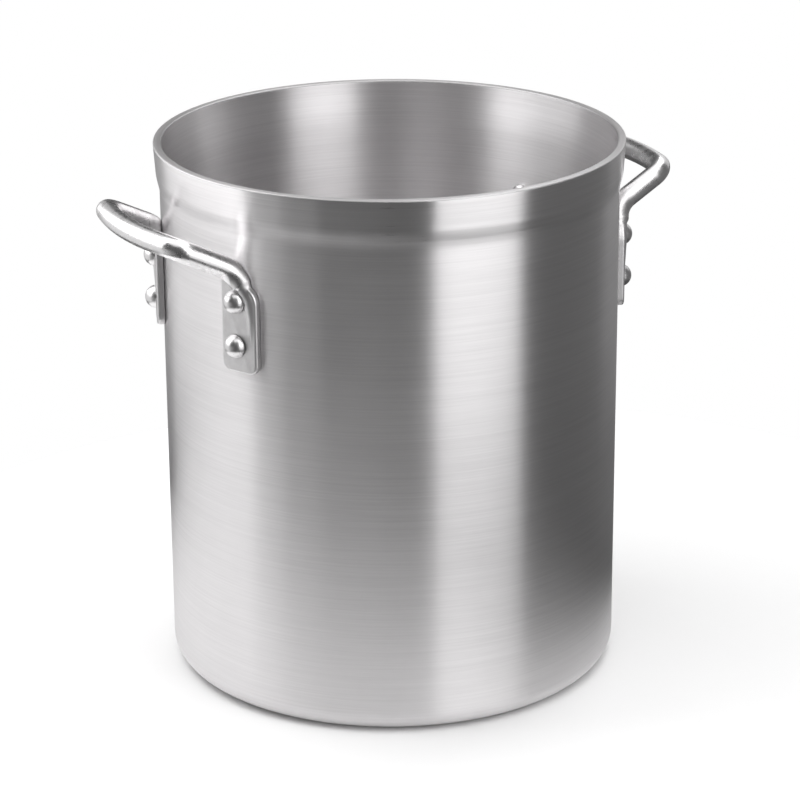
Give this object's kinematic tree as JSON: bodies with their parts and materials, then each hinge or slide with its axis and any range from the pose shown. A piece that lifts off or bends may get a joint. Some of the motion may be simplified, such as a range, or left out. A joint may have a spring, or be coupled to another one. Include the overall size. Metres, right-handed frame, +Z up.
{
  "type": "stock pot",
  "caption": "Tall straight-sided metal stock pot, open at the top, with a thicker band under its rim and a riveted loop handle on each side.",
  "frame": {"origin": "centre of the underside of the base, on the pot's axis", "axes": "+Z up along the pot's axis, +X towards the right handle, -Y towards the front feet of the handles"},
  "size_m": [0.3702, 0.2924, 0.34],
  "materials": {
    "brushed_aluminium": "spun and brushed round the pot, satin",
    "polished_aluminium": "polished",
    "rivet_aluminium": "smooth, half polished"
  },
  "bodies": {
    "root": {"pot_body": "brushed_aluminium", "handle_left": "polished_aluminium", "handle_right": "polished_aluminium", "rivet_left_front_lower": "rivet_aluminium", "rivet_left_front_upper": "rivet_aluminium", "rivet_left_rear_lower": "rivet_aluminium", "rivet_left_rear_upper": "rivet_aluminium", "rivet_right_front_lower": "rivet_aluminium", "rivet_right_front_upper": "rivet_aluminium", "rivet_right_rear_lower": "rivet_aluminium", "rivet_right_rear_upper": "rivet_aluminium"}
  },
  "joints": []
}
